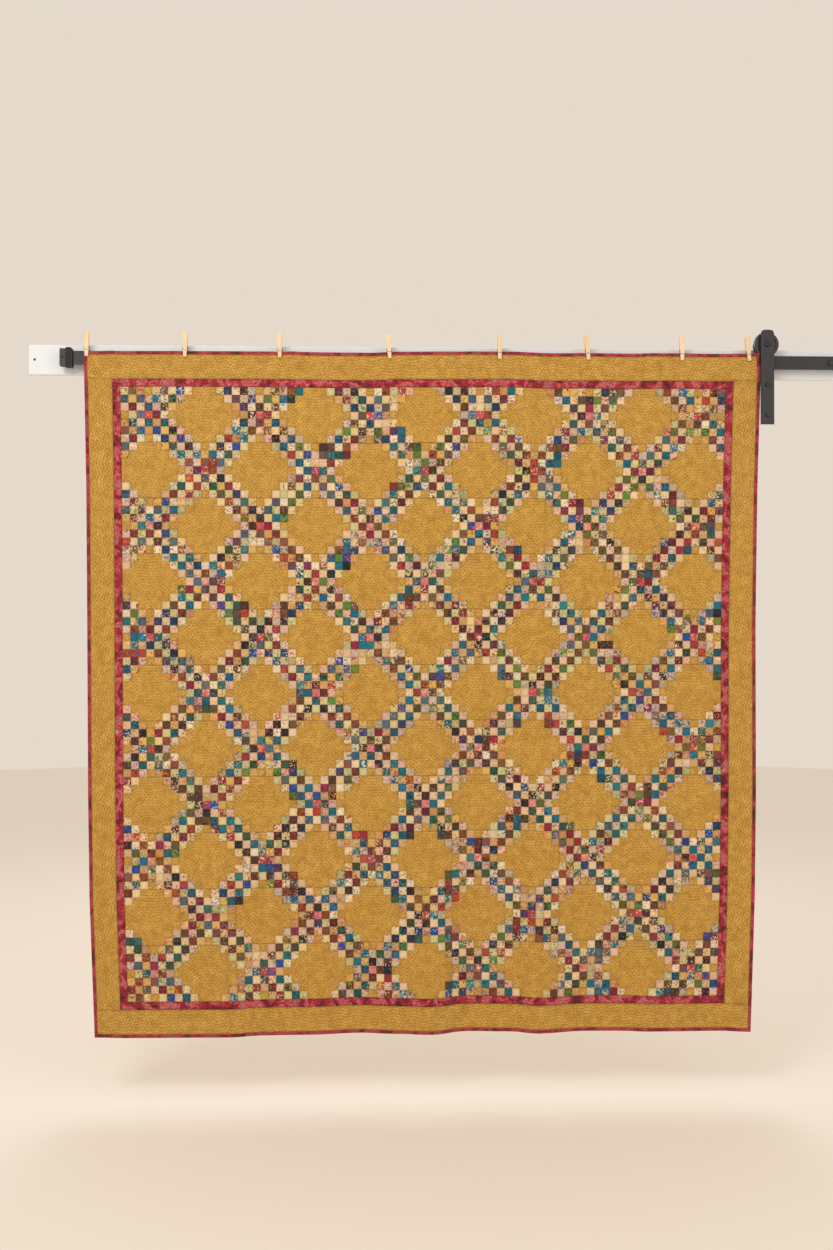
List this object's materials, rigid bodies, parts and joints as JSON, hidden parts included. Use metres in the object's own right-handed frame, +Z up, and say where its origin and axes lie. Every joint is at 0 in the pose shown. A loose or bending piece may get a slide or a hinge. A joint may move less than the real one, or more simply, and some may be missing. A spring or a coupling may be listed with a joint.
{
  "type": "quilt on a rack",
  "caption": "Square patchwork quilt hung by spring clothespins from a wall-fixed flat steel rail with end stops and a sliding roller hanger.",
  "frame": {"origin": "centre of the header board's back face, on the wall", "axes": "+X right along the rail as the quilt is faced, +Y into the wall, +Z up; the quilt's face looks along -Y"},
  "size_m": [2.6384, 0.128, 2.0886],
  "materials": {
    "board_paint": "white satin paint over softwood board",
    "screw_black": "black phosphate screws",
    "rail_powder_coat": "fine-textured matte black powder coat",
    "hardware_black": "black oxide bolts, nuts, washers and spacers",
    "bumper_rubber": "moulded black rubber",
    "patch_cotton": "pieced printed cotton squares, quilted",
    "red_batik": "red batik cotton",
    "gold_cotton": "mottled gold cotton with dense quilting",
    "cotton_batting": "needled cotton wadding",
    "backing_cotton": "mottled gold cotton backing",
    "binding_batik": "dark red batik cotton strip",
    "wheel_black": "black-coated turned steel",
    "bearing_steel": "ground bearing steel",
    "pin_wood": "unfinished birch",
    "spring_wire": "galvanised spring wire"
  },
  "bodies": {
    "rack": {"header_board": "board_paint", "board_screws": "screw_black", "rail": "rail_powder_coat", "rail_spacers": "hardware_black", "rail_washers": "hardware_black", "rail_bolts": "hardware_black", "left_stop_body": "rail_powder_coat", "left_stop_bumper": "bumper_rubber", "left_stop_screw": "hardware_black", "right_stop_body": "rail_powder_coat", "right_stop_bumper": "bumper_rubber", "right_stop_screw": "hardware_black", "quilt_field": "patch_cotton", "quilt_inner_border": "red_batik", "quilt_outer_border": "gold_cotton", "quilt_batting": "cotton_batting", "quilt_backing": "backing_cotton", "quilt_binding": "binding_batik"},
    "hanger": {"hanger_strap": "rail_powder_coat", "hanger_axle_bolt": "hardware_black", "hanger_axle_washers": "hardware_black", "hanger_axle_nut": "hardware_black", "hanger_door_bolts": "hardware_black"},
    "hanger_wheel_set": {"hanger_wheel": "wheel_black", "wheel_bearing": "bearing_steel"},
    "clothespin_1": {"clothespin_1_rear": "pin_wood", "clothespin_1_spring": "spring_wire"},
    "clothespin_1_front_leg": {"clothespin_1_front": "pin_wood"},
    "clothespin_2": {"clothespin_2_rear": "pin_wood", "clothespin_2_spring": "spring_wire"},
    "clothespin_2_front_leg": {"clothespin_2_front": "pin_wood"},
    "clothespin_3": {"clothespin_3_rear": "pin_wood", "clothespin_3_spring": "spring_wire"},
    "clothespin_3_front_leg": {"clothespin_3_front": "pin_wood"},
    "clothespin_4": {"clothespin_4_rear": "pin_wood", "clothespin_4_spring": "spring_wire"},
    "clothespin_4_front_leg": {"clothespin_4_front": "pin_wood"},
    "clothespin_5": {"clothespin_5_rear": "pin_wood", "clothespin_5_spring": "spring_wire"},
    "clothespin_5_front_leg": {"clothespin_5_front": "pin_wood"},
    "clothespin_6": {"clothespin_6_rear": "pin_wood", "clothespin_6_spring": "spring_wire"},
    "clothespin_6_front_leg": {"clothespin_6_front": "pin_wood"},
    "clothespin_7": {"clothespin_7_rear": "pin_wood", "clothespin_7_spring": "spring_wire"},
    "clothespin_7_front_leg": {"clothespin_7_front": "pin_wood"},
    "clothespin_8": {"clothespin_8_rear": "pin_wood", "clothespin_8_spring": "spring_wire"},
    "clothespin_8_front_leg": {"clothespin_8_front": "pin_wood"}
  },
  "joints": [
    {"name": "hanger_slide", "type": "slide", "parent": "rack", "child": "hanger", "axis": [1, 0, 0], "range_m": [0, 0.275]},
    {"name": "wheel_spin", "type": "hinge", "parent": "hanger", "child": "hanger_wheel_set", "pos_m": [0.877, -0.05, 0.0533], "axis": [0, 1, 0], "range_deg": [0, 480]},
    {"name": "clothespin_1_lift", "type": "slide", "parent": "rack", "child": "clothespin_1", "axis": [0, 0, 1], "range_m": [0, 0.06]},
    {"name": "clothespin_1_squeeze", "type": "hinge", "parent": "clothespin_1", "child": "clothespin_1_front_leg", "pos_m": [-1.14155, -0.05196, 0.033], "axis": [-0.9997, 0, -0.0262], "range_deg": [0, 8], "stiffness_Nm_per_rad": 0.05, "springref_deg": -34.38, "deforming": ["clothespin_1_spring"]},
    {"name": "clothespin_2_lift", "type": "slide", "parent": "rack", "child": "clothespin_2", "axis": [0, 0, 1], "range_m": [0, 0.06]},
    {"name": "clothespin_2_squeeze", "type": "hinge", "parent": "clothespin_2", "child": "clothespin_2_front_leg", "pos_m": [-0.85343, -0.05196, 0.033], "axis": [-1, 0, 0], "range_deg": [0, 8], "stiffness_Nm_per_rad": 0.05, "springref_deg": -34.38, "deforming": ["clothespin_2_spring"]},
    {"name": "clothespin_3_lift", "type": "slide", "parent": "rack", "child": "clothespin_3", "axis": [0, 0, 1], "range_m": [0, 0.06]},
    {"name": "clothespin_3_squeeze", "type": "hinge", "parent": "clothespin_3", "child": "clothespin_3_front_leg", "pos_m": [-0.57497, -0.05196, 0.033], "axis": [-1, 0, 0], "range_deg": [0, 8], "stiffness_Nm_per_rad": 0.05, "springref_deg": -34.38, "deforming": ["clothespin_3_spring"]},
    {"name": "clothespin_4_lift", "type": "slide", "parent": "rack", "child": "clothespin_4", "axis": [0, 0, 1], "range_m": [0, 0.06]},
    {"name": "clothespin_4_squeeze", "type": "hinge", "parent": "clothespin_4", "child": "clothespin_4_front_leg", "pos_m": [-0.25204, -0.05196, 0.033], "axis": [-0.9969, 0, -0.0785], "range_deg": [0, 8], "stiffness_Nm_per_rad": 0.05, "springref_deg": -34.38, "deforming": ["clothespin_4_spring"]},
    {"name": "clothespin_5_lift", "type": "slide", "parent": "rack", "child": "clothespin_5", "axis": [0, 0, 1], "range_m": [0, 0.06]},
    {"name": "clothespin_5_squeeze", "type": "hinge", "parent": "clothespin_5", "child": "clothespin_5_front_leg", "pos_m": [0.07692, -0.05196, 0.033], "axis": [-1, 0, 0], "range_deg": [0, 8], "stiffness_Nm_per_rad": 0.05, "springref_deg": -34.38, "deforming": ["clothespin_5_spring"]},
    {"name": "clothespin_6_lift", "type": "slide", "parent": "rack", "child": "clothespin_6", "axis": [0, 0, 1], "range_m": [0, 0.06]},
    {"name": "clothespin_6_squeeze", "type": "hinge", "parent": "clothespin_6", "child": "clothespin_6_front_leg", "pos_m": [0.33908, -0.05196, 0.033], "axis": [-0.9954, 0, -0.0958], "range_deg": [0, 8], "stiffness_Nm_per_rad": 0.05, "springref_deg": -34.38, "deforming": ["clothespin_6_spring"]},
    {"name": "clothespin_7_lift", "type": "slide", "parent": "rack", "child": "clothespin_7", "axis": [0, 0, 1], "range_m": [0, 0.06]},
    {"name": "clothespin_7_squeeze", "type": "hinge", "parent": "clothespin_7", "child": "clothespin_7_front_leg", "pos_m": [0.62297, -0.05196, 0.033], "axis": [-1, 0, 0.0087], "range_deg": [0, 8], "stiffness_Nm_per_rad": 0.05, "springref_deg": -34.38, "deforming": ["clothespin_7_spring"]},
    {"name": "clothespin_8_lift", "type": "slide", "parent": "rack", "child": "clothespin_8", "axis": [0, 0, 1], "range_m": [0, 0.06]},
    {"name": "clothespin_8_squeeze", "type": "hinge", "parent": "clothespin_8", "child": "clothespin_8_front_leg", "pos_m": [0.82337, -0.05196, 0.033], "axis": [-0.9986, 0, -0.0523], "range_deg": [0, 8], "stiffness_Nm_per_rad": 0.05, "springref_deg": -34.38, "deforming": ["clothespin_8_spring"]}
  ],
  "couplings": [
    {"joint": "wheel_spin", "follows": "hanger_slide", "rad_per_m": 30.303}
  ]
}
